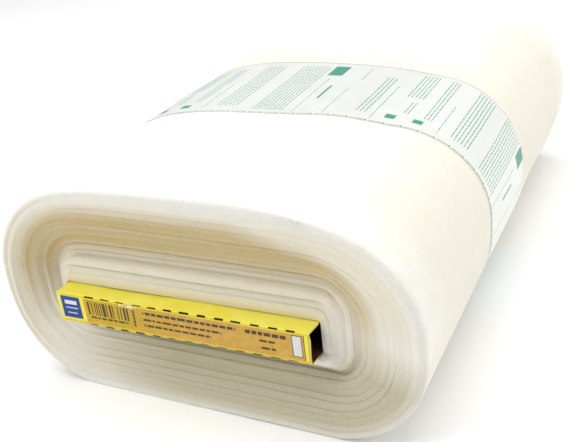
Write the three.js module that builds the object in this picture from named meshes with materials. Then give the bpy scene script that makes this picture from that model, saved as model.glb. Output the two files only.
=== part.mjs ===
// A roll of foam stabilizer: one long sheet of thin foam wound flat on a folded cardboard
// board, with a printed band round its middle and a printed label on the board's end.
// Millimetres, +Z up. Y runs along the roll with the labelled end at -Y, X across it, and
// the origin lies on the surface that the roll rests on, under the middle of its box.

import * as THREE from 'three';

// Driving dimensions of the winding
const SHEET_WIDTH = 508;        // the foam's width, 20 in, which is the roll's length
const TURNS = 14.4;             // turns round the board
const SHEET_THICKNESS = 4.9;    // one layer as it lies in the outer turns
const CORE_HALF_WIDTH = 86.3;   // flat part of the outside, either side of the middle
const CORE_CROWN = 8.2;         // how far the outside crowns up over its rounded sides
const CORE_DROP = 8.8;          // height of the straight part of the sides
const CROWN_POWER = 1.5;        // how evenly the crown is spread over the top
const WRAP_RADIUS = 76.3;       // radius of the rounded sides at the loose edge
const LOOSE_EDGE_X = 80;        // where the sheet ends, on top of the roll
const LOOSE_EDGE_RUN = 1.2;     // width of the step that it makes at the near end
const BAND_EDGE_RUN = 14;       // width of the ramp that the band bridges it with
const FAR_EDGE_RUN = 28;        // past the band the loose edge is pressed to a long ramp
const FLAT_SPOT_DEPTH = 0.6;    // how much the foam is pressed flat underneath

// Ends of the roll: the layers step inwards from the rim and rise again at the board
const RIM_RADIUS = 4;
const VALLEY_AT = 0.3;          // share of the way from the board to the outside
const VALLEY_DEPTH = 24;
const BOARD_SIDE_DEPTH = 13;
const VALLEY_POWER = 1.3;
const RING_COUNT = Math.floor(TURNS / 2);   // raised rings, one for every second turn
const RING_HEIGHT = 3.2;

// Cardboard board, a folded sleeve that is open at both of its long sides
const BOARD = { width: 198.4, thickness: 24, wall: 1.5, fold: 2, x: -15.2, z: -14.2 };
const BOARD_TILT = 0.95 * Math.PI / 180;    // its right side lies a little higher
const BOARD_NEAR_Y = -254.2;
const BOARD_FAR_Y = 255;
const FOLD_STEPS = 3;
const SLOT_GAP = 0.7;
const SLOT_CORNER = 1.5;

// Printed label on the near end of the board
const LABEL = { width: 194, height: 21.5, thickness: 0.5, corner: 1 };

// Printed band round the roll, pressed into the foam so that it lies flush. Its edges run
// a little off square, by the skew for each mm of X.
const BAND_NEAR = { y: -99.5, skew: 0.097 };
const BAND_FAR = { y: 23.5, skew: 0.055 };
const BAND_THICKNESS = 1;
const BAND_SUNK = 0.1;

const GAP = 0.3;                // clearance between pieces that touch

// Steps round the section
const SIDE_STEPS = 2;
const ARC_STEPS = 9;
const TOP_STEPS = 14;
const BOTTOM_STEPS = 10;
const TOP_SHARE = 0.8;          // share of the top that is stepped evenly in X

const QUARTER = Math.PI / 2;
const { lerp, clamp } = THREE.MathUtils;

// The outside of the roll is a crowned plate wrapped to one radius. This is the point of
// the plate whose normal stands at the angle phi above +X, from 0 to a quarter turn.
function crownPoint(phi) {
  const across = (CORE_HALF_WIDTH * Math.cos(phi)) ** CROWN_POWER;
  const up = (CORE_CROWN * Math.sin(phi)) ** CROWN_POWER;
  const scale = (across + up) ** (1 / CROWN_POWER - 1);
  const x = CORE_HALF_WIDTH * scale * (CORE_HALF_WIDTH * Math.cos(phi)) ** (CROWN_POWER - 1);
  const z = CORE_CROWN * scale * (CORE_CROWN * Math.sin(phi)) ** (CROWN_POWER - 1);
  return { x, z };
}

// Angle of the plate's normal where the plate is at the share s of its half width
function crownAngle(s) {
  const dual = CROWN_POWER / (CROWN_POWER - 1);
  const slope = (CORE_CROWN / CORE_HALF_WIDTH) * s ** (dual - 1) / (1 - s ** dual) ** (1 / CROWN_POWER);
  return QUARTER - Math.atan(slope);
}

// Every layer is stepped round in the same eight spans, counter-clockwise as seen from
// the near end: right side, arc, top, arc, left side, arc, bottom, arc. A step holds its
// place on the roll's outside and on the slot for the board, and the outward normal.
function sectionSteps() {
  const slotHalf = BOARD.width / 2 + SLOT_GAP;
  const slotRise = BOARD.thickness / 2 + SLOT_GAP;
  const steps = [];

  function add(side, level, phi, core, slotAcross, slotUp) {
    const normal = { x: side * Math.cos(phi), z: level * Math.sin(phi) };
    const slotX = slotAcross * Math.cos(BOARD_TILT) - slotUp * Math.sin(BOARD_TILT);
    const slotZ = slotAcross * Math.sin(BOARD_TILT) + slotUp * Math.cos(BOARD_TILT);
    steps.push({
      normal,
      core: { x: side * core.x, z: core.z },
      slot: { x: BOARD.x + slotX, z: BOARD.z + slotZ },
    });
  }

  function addSide(side, from, to) {
    for (let i = 0; i < SIDE_STEPS; i++) {
      const level = lerp(from, to, i / SIDE_STEPS);
      const slotUp = (slotRise - SLOT_CORNER) * (2 * level - 1);
      add(side, 1, 0, { x: CORE_HALF_WIDTH, z: (level - 1) * CORE_DROP }, side * slotHalf, slotUp);
    }
  }

  function addArc(side, level, rising) {
    const steepest = level > 0 ? crownAngle(TOP_SHARE) : QUARTER;
    for (let i = 0; i < ARC_STEPS; i++) {
      const turned = rising ? i / ARC_STEPS : 1 - i / ARC_STEPS;
      const phi = turned * steepest;
      const core = level > 0 ? crownPoint(phi) : { x: CORE_HALF_WIDTH, z: -CORE_DROP };
      const corner = turned * QUARTER;
      const slotAcross = slotHalf - SLOT_CORNER + SLOT_CORNER * Math.cos(corner);
      const slotUp = slotRise - SLOT_CORNER + SLOT_CORNER * Math.sin(corner);
      add(side, level, phi, core, side * slotAcross, level * slotUp);
    }
  }

  function addTop() {
    for (let i = 0; i < TOP_STEPS; i++) {
      const share = TOP_SHARE * (1 - 2 * i / TOP_STEPS);
      const phi = crownAngle(Math.abs(share));
      const across = share / TOP_SHARE * (slotHalf - SLOT_CORNER);
      const core = share === 0 ? { x: 0, z: CORE_CROWN } : crownPoint(phi);
      add(share < 0 ? -1 : 1, 1, phi, core, across, slotRise);
    }
  }

  function addBottom() {
    for (let i = 0; i < BOTTOM_STEPS; i++) {
      const share = 2 * i / BOTTOM_STEPS - 1;
      const across = share * (slotHalf - SLOT_CORNER);
      add(1, -1, QUARTER, { x: share * CORE_HALF_WIDTH, z: -CORE_DROP }, across, -slotRise);
    }
  }

  addSide(1, 0, 1);
  addArc(1, 1, true);
  addTop();
  addArc(-1, 1, false);
  addSide(-1, 1, 0);
  addArc(-1, -1, true);
  addBottom();
  addArc(1, -1, false);
  return withLooseEdge(steps);
}

// Adds two steps that stand close together at the loose edge, and numbers every step by
// its share of a whole turn, counted from that edge against the winding.
function withLooseEdge(steps) {
  const placeOf = (step) => step.core.x + WRAP_RADIUS * step.normal.x;
  const heightOf = (step) => step.core.z + WRAP_RADIUS * step.normal.z;
  const after = steps.findIndex((step, i) => i > SIDE_STEPS && placeOf(step) < LOOSE_EDGE_X);
  const low = blend(steps[after - 1], steps[after], LOOSE_EDGE_X + LOOSE_EDGE_RUN, placeOf);
  const high = blend(steps[after - 1], steps[after], LOOSE_EDGE_X, placeOf);
  const turned = [high, ...steps.slice(after), ...steps.slice(0, after), low];
  const lengths = [0];
  for (let i = 1; i < turned.length; i++) {
    const dx = placeOf(turned[i]) - placeOf(turned[i - 1]);
    const dz = heightOf(turned[i]) - heightOf(turned[i - 1]);
    lengths.push(lengths[i - 1] + Math.hypot(dx, dz));
  }
  const whole = lengths[lengths.length - 1];
  return turned.map((step, i) => ({ ...step, share: lengths[i] / whole, run: lengths[i] }));
}

// The step between two others that stands at the given X
function blend(a, b, x, placeOf) {
  const t = (x - placeOf(a)) / (placeOf(b) - placeOf(a));
  const between = (key) => ({ x: lerp(a[key].x, b[key].x, t), z: lerp(a[key].z, b[key].z, t) });
  return { core: between('core'), normal: between('normal'), slot: between('slot') };
}

const STEPS = sectionSteps();
const ROUND = STEPS[STEPS.length - 1].run;

// How much thinner the roll is at a step than at its loose edge, which is a ramp of the
// given run. Below the outermost layer the winding is taken as even.
function thinning(step, layerShare, edgeRun) {
  const toEdge = ROUND - step.run;
  const ramp = toEdge < edgeRun ? toEdge / edgeRun : 1;
  return SHEET_THICKNESS * lerp(0.5, step.share * ramp, layerShare);
}

// Point on the roll's outside, pressed flat underneath
function outsidePoint(step, layerShare, edgeRun) {
  const radius = WRAP_RADIUS - thinning(step, layerShare, edgeRun);
  const x = step.core.x + radius * step.normal.x;
  const z = Math.max(step.core.z + radius * step.normal.z, FLOOR_Z);
  return { x, z };
}

// The lowest point lies half a turn round from the loose edge
const FLOOR_Z = -CORE_DROP - WRAP_RADIUS + SHEET_THICKNESS * 0.5 + FLAT_SPOT_DEPTH;
const OUTSIDE = STEPS.map((step) => outsidePoint(step, 1, 0));
const CENTRE_X = (Math.max(...OUTSIDE.map((p) => p.x)) + Math.min(...OUTSIDE.map((p) => p.x))) / 2;

// One closed loop of the foam at the share u of the way from the slot to the outside,
// sunk below the outside by the given depth, with the loose edge as a ramp of that run
function foamLoop(yOf, u, edgeRun, sunk = 0) {
  const outerLayer = 1 / TURNS;
  const layerShare = clamp((u - 1 + outerLayer) / outerLayer, 0, 1);
  return STEPS.map((step) => {
    const outside = outsidePoint(step, layerShare, edgeRun);
    const x = lerp(step.slot.x, outside.x, u) - sunk * step.normal.x;
    const z = lerp(step.slot.z, outside.z, u) - sunk * step.normal.z;
    return new THREE.Vector3(x, yOf(x), z);
  });
}

// Closed skin through a ring of loops that all have the same number of points
function skinThroughLoops(loops) {
  const count = loops[0].length;
  const index = [];
  loops.forEach((_, i) => {
    const here = i * count;
    const next = ((i + 1) % loops.length) * count;
    for (let k = 0; k < count; k++) {
      const k1 = (k + 1) % count;
      index.push(here + k, next + k, here + k1);
      index.push(here + k1, next + k, next + k1);
    }
  });
  const geometry = new THREE.BufferGeometry().setFromPoints(loops.flat());
  geometry.setIndex(index);
  geometry.computeVertexNormals();
  return geometry;
}

// How far the layers lie behind the rim at the share u of the way out
function endDepth(u) {
  if (u < VALLEY_AT) {
    return lerp(BOARD_SIDE_DEPTH, VALLEY_DEPTH, (u / VALLEY_AT) ** VALLEY_POWER);
  }
  return VALLEY_DEPTH * ((1 - u) / (1 - VALLEY_AT)) ** VALLEY_POWER;
}

// Loops of one end of the foam, from the outside to the slot, as shares and depths
function endRings() {
  const rings = [];
  const rimShare = RIM_RADIUS / WRAP_RADIUS;
  for (const turned of [0, 0.35, 0.7]) {
    const angle = turned * QUARTER;
    rings.push({ u: 1 - rimShare * (1 - Math.cos(angle)), depth: RIM_RADIUS * (1 - Math.sin(angle)) });
  }
  for (let ring = RING_COUNT; ring > 0; ring--) {
    const crest = (ring - 0.5) / RING_COUNT;
    const groove = (ring - 1) / RING_COUNT;
    rings.push({ u: crest, depth: endDepth(crest) });
    rings.push({ u: groove, depth: endDepth(groove) + RING_HEIGHT });
  }
  return rings;
}

// Y along one edge of the band, or of the recess round it, as a function of X
function bandEdge(edge, clearance) {
  return (x) => edge.y + clearance + edge.skew * x;
}

function foamRoll() {
  const edge = SHEET_WIDTH / 2;
  const sunk = BAND_THICKNESS + BAND_SUNK + GAP;
  const rings = endRings();
  const nearEdge = bandEdge(BAND_NEAR, -GAP);
  const farEdge = bandEdge(BAND_FAR, GAP);
  const loops = [
    ...[...rings].reverse().map((ring) => foamLoop(() => -edge + ring.depth, ring.u, 0)),
    foamLoop(nearEdge, 1, 0),
    foamLoop(nearEdge, 1, BAND_EDGE_RUN, sunk),
    foamLoop(farEdge, 1, BAND_EDGE_RUN, sunk),
    foamLoop(farEdge, 1, FAR_EDGE_RUN),
    ...rings.map((ring) => foamLoop(() => edge - ring.depth, ring.u, FAR_EDGE_RUN)),
  ];
  return skinThroughLoops(loops);
}

function instructionBand() {
  const inner = BAND_SUNK + BAND_THICKNESS;
  const nearEdge = bandEdge(BAND_NEAR, 0);
  const farEdge = bandEdge(BAND_FAR, 0);
  return skinThroughLoops([
    foamLoop(nearEdge, 1, BAND_EDGE_RUN, BAND_SUNK),
    foamLoop(farEdge, 1, BAND_EDGE_RUN, BAND_SUNK),
    foamLoop(farEdge, 1, BAND_EDGE_RUN, inner),
    foamLoop(nearEdge, 1, BAND_EDGE_RUN, inner),
  ]);
}

// Draws a rectangle with rounded corners round the given middle
function roundedRectangle(path, middle, width, height, corner) {
  const right = middle + width / 2;
  const left = middle - width / 2;
  const top = height / 2;
  path.moveTo(right - corner, -top);
  path.absarc(right - corner, corner - top, corner, -QUARTER, 0);
  path.absarc(right - corner, top - corner, corner, 0, QUARTER);
  path.absarc(left + corner, top - corner, corner, QUARTER, 2 * QUARTER);
  path.absarc(left + corner, corner - top, corner, 2 * QUARTER, 3 * QUARTER);
  path.closePath();
}

// The sleeve's section is drawn along Y and Z, then stood up along X
function coreBoard() {
  const length = BOARD_FAR_Y - BOARD_NEAR_Y;
  const middle = (BOARD_FAR_Y + BOARD_NEAR_Y) / 2;
  const walls = 2 * BOARD.wall;
  const section = new THREE.Shape();
  const inside = new THREE.Path();
  roundedRectangle(section, middle, length, BOARD.thickness, BOARD.fold);
  roundedRectangle(inside, middle, length - walls, BOARD.thickness - walls, BOARD.fold - BOARD.wall);
  section.holes.push(inside);
  const geometry = new THREE.ExtrudeGeometry(section, {
    depth: BOARD.width, bevelEnabled: false, curveSegments: FOLD_STEPS,
  });
  geometry.translate(0, 0, -BOARD.width / 2);
  geometry.rotateX(QUARTER);
  geometry.rotateZ(QUARTER);
  return geometry;
}

function endLabel() {
  const outline = new THREE.Shape();
  roundedRectangle(outline, 0, LABEL.width, LABEL.height, LABEL.corner);
  const geometry = new THREE.ExtrudeGeometry(outline, {
    depth: LABEL.thickness, bevelEnabled: false, curveSegments: FOLD_STEPS,
  });
  geometry.rotateX(QUARTER);
  return geometry;
}

function piece(name, geometry, color, roughness) {
  const material = new THREE.MeshStandardMaterial({ color, roughness, metalness: 0 });
  const mesh = new THREE.Mesh(geometry, material);
  mesh.name = name;
  return mesh;
}

const roll = new THREE.Group();
roll.position.set(-CENTRE_X, 0, -FLOOR_Z);

roll.add(piece('foam_roll', foamRoll(), 0xf6f3ea, 0.95));
roll.add(piece('instruction_band', instructionBand(), 0xe6ebe6, 0.6));

const board = piece('core_board', coreBoard(), 0xf2cf1e, 0.7);
board.position.set(BOARD.x, 0, BOARD.z);
board.rotation.y = -BOARD_TILT;
roll.add(board);

const label = piece('end_label', endLabel(), 0xe8b84a, 0.55);
label.position.set(BOARD.x, BOARD_NEAR_Y - GAP, BOARD.z);
label.rotation.y = -BOARD_TILT;
roll.add(label);

export default roll;
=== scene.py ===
# A roll of foam stabilizer: thin white foam wound flat on a folded yellow cardboard board,
# with a printed band round its middle and a printed label on the board's near end.
import math
from functools import reduce

import bpy
import numpy as np
from mathutils import Matrix, Vector


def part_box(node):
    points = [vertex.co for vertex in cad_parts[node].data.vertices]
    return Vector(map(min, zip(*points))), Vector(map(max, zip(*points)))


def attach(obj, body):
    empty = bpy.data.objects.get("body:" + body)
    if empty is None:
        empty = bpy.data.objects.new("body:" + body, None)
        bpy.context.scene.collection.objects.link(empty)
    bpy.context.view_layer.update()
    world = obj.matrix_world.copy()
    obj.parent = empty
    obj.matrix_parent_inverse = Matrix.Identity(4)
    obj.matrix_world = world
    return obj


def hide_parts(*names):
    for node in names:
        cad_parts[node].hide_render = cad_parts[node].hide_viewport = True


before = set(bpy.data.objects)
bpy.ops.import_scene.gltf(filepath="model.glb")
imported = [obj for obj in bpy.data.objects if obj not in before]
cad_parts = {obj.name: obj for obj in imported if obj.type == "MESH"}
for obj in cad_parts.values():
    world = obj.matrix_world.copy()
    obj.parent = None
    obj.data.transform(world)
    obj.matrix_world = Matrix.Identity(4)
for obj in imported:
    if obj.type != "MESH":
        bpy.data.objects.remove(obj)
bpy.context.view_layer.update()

MM = 0.001
PHOTO_WIDTH = 569                  # pixels across the frame
CAMERA_FOCAL = 865.5               # pixels
CAMERA_PLACE = (0.28145, -0.65624, 0.38481)
CAMERA_AZIMUTH = 27.21             # degrees
CAMERA_ELEVATION = 26.55
CAMERA_ROLL = -5.77

# The winding, in millimetres, as in the frame
SHEET_WIDTH = 508
TURNS = 14.4
CORE_HALF_WIDTH = 86.3
CORE_CROWN = 8.2
CORE_DROP = 8.8
CROWN_POWER = 1.5
WRAP_RADIUS = 76.3
LOOSE_EDGE_X = 80
TOP_SHARE = 0.8

# The dished ends: depths behind the rim, by share of the way from the board to the outside
VALLEY_AT = 0.3
VALLEY_DEPTH = 24
VALLEY_RISE = 6          # the valley is shallower by this at the right side
VALLEY_POWER = 1.3
BOARD_SIDE_DEPTH = 13
BOARD_UNDER_DEPTH = 7    # under the board

# The board in the winding's own frame, whose origin is the middle of the crowned plate
BOARD_X = -15.2
BOARD_Z = -14.2
BOARD_TILT = math.radians(0.95)     # its right side lies a little higher
BOARD_WIDTH = 198.4
BOARD_THICKNESS = 24
BOARD_NEAR_Y = -254.2
BOARD_FAR_Y = 255
BOARD_WALL = 1
BOARD_FOLD = 1.2
FLARE = 1.4              # the board's near end is narrower by this at its right side
FLARE_RUN = 14
SLOT_GAP = 0.7
SLOT_CORNER = 1.5

LABEL_WIDTH = 194
LABEL_HEIGHT = 21.5
LABEL_CORNER = 1
LABEL_THICKNESS = 0.35
NICK_DEPTH = 0.6         # of the nicks that the slits leave in the label's lower edge
LABEL_BACK = 0.35        # the label's back stands this far in front of the board
LABEL_COLUMNS = 25
LABEL_STEP = 0.3
LABEL_LIFT = 0.04
NICK_MARGIN = 3          # no nick is nearer to the label's ends
NICK_INSET = 0.1

# The band's edges run a little off square, by the skew for each mm of X
BAND_NEAR_Y = -99.5
BAND_NEAR_SKEW = 0.097
BAND_FAR_Y = 23.5
BAND_FAR_SKEW = 0.055
BAND_BOW = 3.5           # how far the near edge sags towards the near end
BAND_BOW_X = 22
BAND_BOW_SPREAD = 50

# Slits along the folds of the board, and the steps and unevenness of its walls
FOLD_STEPS = 6
SLIT_ROWS = {"top": (0, 4), "bottom": (2, 8)}    # steps of a fold that a slit opens
SLIT_COUNT = 13
SLIT_FIRST = -70.7
SLIT_PITCH = 13.0
SLIT_STRAY = 0.5
SLIT_LENGTHS = (6.2, 7.8)
FRONT_SHARES = (0.2, 0.4, 0.6, 0.8)
FLAT_SHARES = (0.02, 0.3, 0.7, 0.98)
BOARD_COLUMNS = 21
LEAST_COLUMN = 0.15
BOARD_RAGGED = 0.22
BOARD_WARP = 0.25
WARP_RUN = 30            # the walls are flat at the board's sides and warp from there on

# Printing on the label, in millimetres from its middle: left, right, low, high
LABEL_PANEL = (-76, 94.4, -9.2, 10.3)
LABEL_TAN_FROM = (-50, 10)
LABEL_BLOCK = (-96, -79.3, -7.6, 10.2)
LABEL_BLOCK_BARS = ((-93, -82.5, 3.6, 6.8), (-93, -82.5, 0.3, 1.1), (-92, -83.5, -3.9, -3.1))
LABEL_WINDOW_RIM = (85.6, 92.6, -6.9, 9.4)
LABEL_WINDOW = (86.1, 92.1, -6.4, 8.9)
LABEL_EDGE_RULE = (93.9, 94.4, -9.2, 10.3)
LABEL_TORN = (-46, -31, 8.6, 11)
LABEL_BARS = (-73.5, -38.5, -2.2, 8.4)
BAR_STEP = 0.85
LABEL_COLUMN = (-35, -33.4, -5.6, 7.4)
LABEL_TEXT = (
    (-72, -40, -5.0, -3.4),
    (-26.5, 45.5, 5.3, 7.5),
    (-26.5, 34.5, 0.4, 2.1),
    (-26.5, 26.5, -4.2, -2.5),
    (52.5, 82, 4.9, 7.7),
    (62, 73.5, 0.1, 1.8),
    (62, 73.5, -5.3, -3.6),
)
LABEL_WORD_LENGTH = 5.5
COLUMN_PITCH = 2.4

# Printing on the band. It repeats along the roll's round, counted from over the middle of
# the roll towards its right side, and goes up from the band's near edge.
BAND_REPEAT = (94.0, -95.0)
BAND_LINES = (
    # left, right, low, high, pitch, weight
    (-87, -78, 24, 112, 3.0, 0.95),
    (-72, -69, 8, 66, 3.0, 0.7),
    (-61, -42, 14, 114, 3.2, 1.0),
    (-28, -1, 8, 114, 3.0, 0.95),
    (6, 9, 5, 84, 3.0, 0.7),
    (30, 33, 6, 60, 3.0, 0.7),
    (33, 36, 84, 112, 3.0, 0.8),
    (52, 61.6, 16, 96, 3.2, 1.0),
    (65, 68, 6, 80, 3.0, 0.7),
    (77, 93, 60, 114, 3.2, 1.0),
    (85, 91, 26, 52, 3.0, 0.95),
)
BAND_BLOCKS = (
    (2, 15, 92, 116),
    (75, 83, 12, 20),
    (-92, -84, 12, 19),
    (15, 17, 36, 66),
)
WORD_LENGTH = 6
ROW_SHIFT = 17.3         # sets the bars of one row apart from those of the next
WORD_GAP = 0.09          # half the space between two bars, as a share of a bar's length
RULE_AT = 1.6
RULE_WEIGHT = 0.75
TICK_PITCH = 13.5
TICK_LENGTH = 2.6
RULE_DASH = 0.86         # share of the pitch that a dash of the rule takes up

QUARTER = math.pi / 2
rng = np.random.default_rng(11)


# Camera

def make_camera():
    data = bpy.data.cameras.new("camera")
    data.sensor_width = 36
    data.lens = data.sensor_width * CAMERA_FOCAL / PHOTO_WIDTH
    data.clip_start = 0.01
    camera = bpy.data.objects.new("camera", data)
    turn = Matrix.Rotation(math.radians(CAMERA_AZIMUTH), 4, "Z")
    tilt = Matrix.Rotation(math.radians(90 - CAMERA_ELEVATION), 4, "X")
    roll = Matrix.Rotation(math.radians(CAMERA_ROLL), 4, "Z")
    camera.matrix_world = Matrix.Translation(CAMERA_PLACE) @ turn @ tilt @ roll
    bpy.context.scene.collection.objects.link(camera)
    bpy.context.scene.camera = camera


make_camera()


# Small helpers

def smooth(x):
    x = np.clip(x, 0, 1)
    return x * x * (3 - 2 * x)


def mix(a, b, t):
    return a + (b - a) * t


def wander(shortest, longest, count):
    """A smooth random function of one number, within about -1 to 1."""
    lengths = rng.uniform(shortest, longest, count)
    starts = rng.uniform(0, 2 * math.pi, count)
    norm = math.sqrt(2 / count)

    def value(x):
        x = np.asarray(x, float)[..., None]
        return norm * np.sin(2 * math.pi * x / lengths + starts).sum(-1)
    return value


def wander_over(shortest, longest, count):
    """A smooth random function of two lengths, within about -1 to 1."""
    lengths = rng.uniform(shortest, longest, count)
    ways = rng.uniform(0, 2 * math.pi, count)
    starts = rng.uniform(0, 2 * math.pi, count)
    norm = math.sqrt(2 / count)

    def value(x, y):
        x, y = np.broadcast_arrays(np.asarray(x, float), np.asarray(y, float))
        along = x[..., None] * np.cos(ways) + y[..., None] * np.sin(ways)
        return norm * np.sin(2 * math.pi * along / lengths + starts).sum(-1)
    return value


def mesh_piece(name, points, faces, materials, smooth_faces=True):
    """A mesh object from points in millimetres of the winding's frame."""
    mesh = bpy.data.meshes.new(name)
    placed = (np.asarray(points, float) + SHIFT) * MM
    mesh.from_pydata(placed.tolist(), [], faces)
    for material in materials:
        mesh.materials.append(material)
    mesh.polygons.foreach_set("use_smooth", np.full(len(mesh.polygons), smooth_faces))
    mesh.validate()
    mesh.update()
    piece = bpy.data.objects.new(name, mesh)
    bpy.context.scene.collection.objects.link(piece)
    return piece


def point_value(piece, name, values):
    attribute = piece.data.attributes.new(name, "FLOAT", "POINT")
    attribute.data.foreach_set("value", np.asarray(values, np.float32))


def print_map(piece, along, across):
    """A map in millimetres for the printing, from a value of each point."""
    layer = piece.data.uv_layers.new(name="print")
    loops = np.zeros(len(piece.data.loops), int)
    piece.data.loops.foreach_get("vertex_index", loops)
    pairs = np.stack([np.asarray(along)[loops], np.asarray(across)[loops]], 1)
    layer.data.foreach_set("uv", pairs.astype(np.float32).ravel())


# Where the winding's frame lies, taken from the board in the frame
board_low, board_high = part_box("core_board")
board_middle = (board_low + board_high) / 2
SHIFT = np.array([board_middle.x / MM - BOARD_X, 0, board_middle.z / MM - BOARD_Z])
FLOOR_Z = -SHIFT[2]


def on_board(x, z):
    """A place on the tilted board, from its own middle."""
    turned_x = x * math.cos(BOARD_TILT) - z * math.sin(BOARD_TILT)
    turned_z = x * math.sin(BOARD_TILT) + z * math.cos(BOARD_TILT)
    return BOARD_X + turned_x, BOARD_Z + turned_z


# The section of the roll: a crowned plate wrapped to one radius, round a flat slot

def crown_point(phi):
    across = (CORE_HALF_WIDTH * math.cos(phi)) ** CROWN_POWER
    up = (CORE_CROWN * math.sin(phi)) ** CROWN_POWER
    scale = (across + up) ** (1 / CROWN_POWER - 1)
    x = CORE_HALF_WIDTH * scale * (CORE_HALF_WIDTH * math.cos(phi)) ** (CROWN_POWER - 1)
    z = CORE_CROWN * scale * (CORE_CROWN * math.sin(phi)) ** (CROWN_POWER - 1)
    return x, z


def crown_angle(share):
    dual = CROWN_POWER / (CROWN_POWER - 1)
    slope = CORE_CROWN / CORE_HALF_WIDTH * share ** (dual - 1) / (1 - share ** dual) ** (1 / CROWN_POWER)
    return QUARTER - math.atan(slope)


def section_steps(side_steps, arc_steps, top_steps, bottom_steps):
    """Rows of outside x, z, normal x, z and slot x, z, counter-clockwise from the right side."""
    half = BOARD_WIDTH / 2 + SLOT_GAP
    rise = BOARD_THICKNESS / 2 + SLOT_GAP
    rows = []

    def add(side, level, phi, core, slot_x, slot_z):
        nx = side * math.cos(phi)
        nz = level * math.sin(phi)
        x = side * core[0] + WRAP_RADIUS * nx
        z = core[1] + WRAP_RADIUS * nz
        rows.append((x, z, nx, nz, *on_board(slot_x, slot_z)))

    def add_side(side, start, end):
        for level in np.linspace(start, end, side_steps, endpoint=False):
            slot_z = (rise - SLOT_CORNER) * (2 * level - 1)
            add(side, 1, 0, (CORE_HALF_WIDTH, (level - 1) * CORE_DROP), side * half, slot_z)

    def add_arc(side, level, rising):
        steepest = crown_angle(TOP_SHARE) if level > 0 else QUARTER
        for i in range(arc_steps):
            turned = i / arc_steps if rising else 1 - i / arc_steps
            core = crown_point(turned * steepest) if level > 0 else (CORE_HALF_WIDTH, -CORE_DROP)
            corner = turned * QUARTER
            slot_x = half - SLOT_CORNER + SLOT_CORNER * math.cos(corner)
            slot_z = rise - SLOT_CORNER + SLOT_CORNER * math.sin(corner)
            add(side, level, turned * steepest, core, side * slot_x, level * slot_z)

    def add_top():
        for i in range(top_steps):
            share = TOP_SHARE * (1 - 2 * i / top_steps)
            core = crown_point(crown_angle(abs(share))) if abs(share) > 1e-9 else (0, CORE_CROWN)
            slot_x = share / TOP_SHARE * (half - SLOT_CORNER)
            add(-1 if share < 0 else 1, 1, crown_angle(abs(share)), core, slot_x, rise)

    def add_bottom():
        for i in range(bottom_steps):
            share = 2 * i / bottom_steps - 1
            slot_x = share * (half - SLOT_CORNER)
            add(1, -1, QUARTER, (share * CORE_HALF_WIDTH, -CORE_DROP), slot_x, -rise)

    add_side(1, 0, 1)
    add_arc(1, 1, True)
    add_top()
    add_arc(-1, 1, False)
    add_side(-1, 1, 0)
    add_arc(-1, -1, True)
    add_bottom()
    add_arc(1, -1, False)
    return np.array(rows)


class Section:
    """The section by share of a turn, counter-clockwise from the loose edge."""

    def __init__(self):
        rows = section_steps(side_steps=4, arc_steps=17, top_steps=32, bottom_steps=26)
        on_top = (rows[:, 3] > 0.5) & (rows[:, 0] < LOOSE_EDGE_X)
        after = int(np.argmax(on_top))
        before = rows[after - 1]
        t = (LOOSE_EDGE_X - before[0]) / (rows[after][0] - before[0])
        edge = mix(before, rows[after], t)
        rows = np.vstack([edge, rows[after:], rows[:after], edge])
        run = np.r_[0, np.cumsum(np.hypot(*np.diff(rows[:, :2], axis=0).T))]
        self.round = run[-1]
        self.steps = run / run[-1]
        self.rows = rows

    def at(self, share):
        """Outside, normal and slot points, each as x and z."""
        share = np.mod(share, 1)
        found = np.stack([np.interp(share, self.steps, column) for column in self.rows.T], -1)
        outside, normal, slot = found[..., 0:2].copy(), found[..., 2:4], found[..., 4:6]
        lowest = slot[..., 1] + (FLOOR_Z - slot[..., 1]) * TURNS / (TURNS - share)
        outside[..., 1] = np.maximum(outside[..., 1], lowest)
        return outside, normal, slot


section = Section()


def band_near(x):
    bow = BAND_BOW * np.exp(-((x - BAND_BOW_X) / BAND_BOW_SPREAD) ** 2)
    return BAND_NEAR_Y + BAND_NEAR_SKEW * x - bow


def band_far(x):
    return BAND_FAR_Y + BAND_FAR_SKEW * x


# The foam's turns, counted from the board

START_STEP = 0.12        # share of a turn over which the sheet's inner end is climbed
SMOOTHED_AFTER = 5       # turns over which that step fades into an even spiral
UNEVEN = 0.09            # unevenness of the layers, as a share of a layer
UNEVEN_FROM = 0.8        # the turn from which it grows, and over how many turns
UNEVEN_GROWS = 3
UNEVEN_ENDS = 0.8        # part of a turn over which it fades under the outermost turn
SWELL = 0.45             # how far the loose turns over the board swell, in layers
SWELL_AT = 3             # the turn at which they have swelled most
SWELL_ENDS = 4           # turns over which the swelling fades towards the outside
unevenness = wander(0.37, 1.3, 9)


def wound_share(w, over_board=0):
    """Share of the way from the slot to the outside at which turn w has its outer face."""
    w = np.maximum(w, 0)
    turn = np.floor(w)
    part = w - turn
    step = smooth(part / START_STEP)
    height = turn + mix(step, part, np.clip(turn / SMOOTHED_AFTER, 0, 1))
    inside = smooth((w - UNEVEN_FROM) / UNEVEN_GROWS) * smooth((TURNS - 1 - w) / UNEVEN_ENDS)
    swelled = SWELL * w / SWELL_AT * np.exp(1 - w / SWELL_AT) * smooth((TURNS - 2 - w) / SWELL_ENDS)
    return (height + UNEVEN * unevenness(w) * inside + swelled * over_board) / TURNS


def end_depth(u, valley, beside_board):
    """Depth behind the rim at the share u of the way out, from that beside the board."""
    inner = mix(beside_board, valley, (np.clip(u, 0, VALLEY_AT) / VALLEY_AT) ** VALLEY_POWER)
    outer = valley * (np.clip(1 - u, 0, 1) / (1 - VALLEY_AT)) ** VALLEY_POWER
    return np.where(u < VALLEY_AT, inner, outer)


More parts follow.
